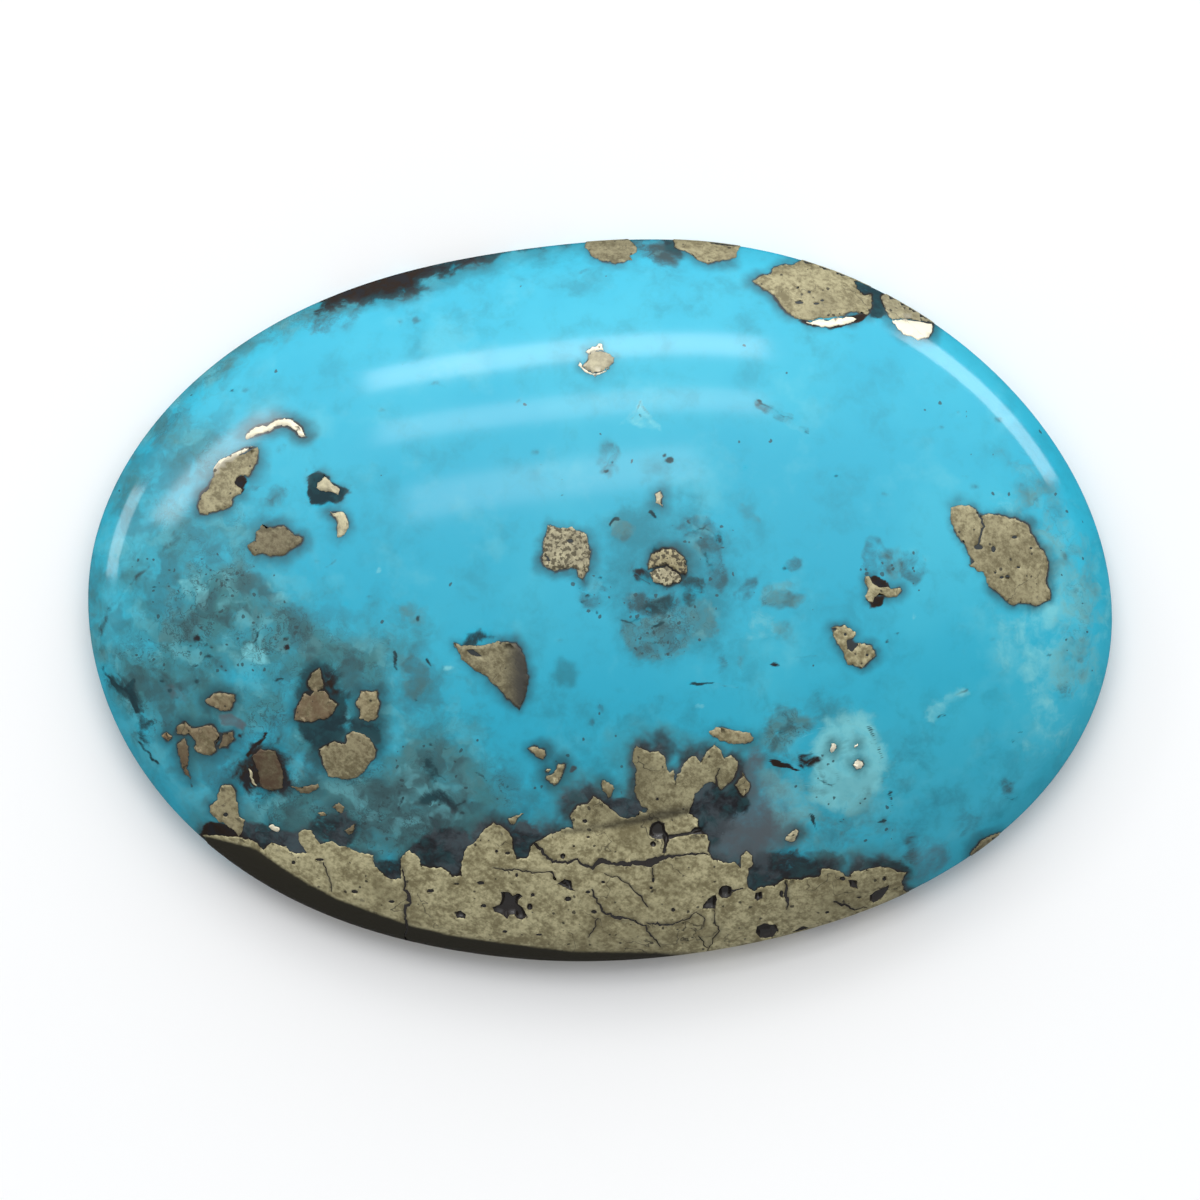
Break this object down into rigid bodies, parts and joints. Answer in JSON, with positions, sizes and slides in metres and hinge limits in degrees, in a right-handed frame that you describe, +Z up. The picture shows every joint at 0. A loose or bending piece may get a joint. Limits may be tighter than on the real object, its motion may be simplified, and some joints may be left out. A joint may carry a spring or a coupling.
{
  "type": "polished turquoise cabochon",
  "caption": "Oval domed turquoise stone, polished, with a flat back, a narrow shoulder, a pyrite seam along one long side and scattered pyrite flecks.",
  "frame": {"origin": "on the flat back's plane, under the middle of the stone's box", "axes": "+X along the stone's length, +Y across it away from the pyrite seam, +Z up from the flat back to the crown of the dome"},
  "size_m": [0.042, 0.0296, 0.007],
  "materials": {
    "turquoise": "polished sky-blue turquoise with darker matrix, gloss of a cabochon",
    "pyrite": "polished pyrite grown in the stone: pale brassy, dull metallic, cracked and pitted"
  },
  "bodies": {
    "root": {"cabochon": "turquoise"}
  },
  "joints": []
}
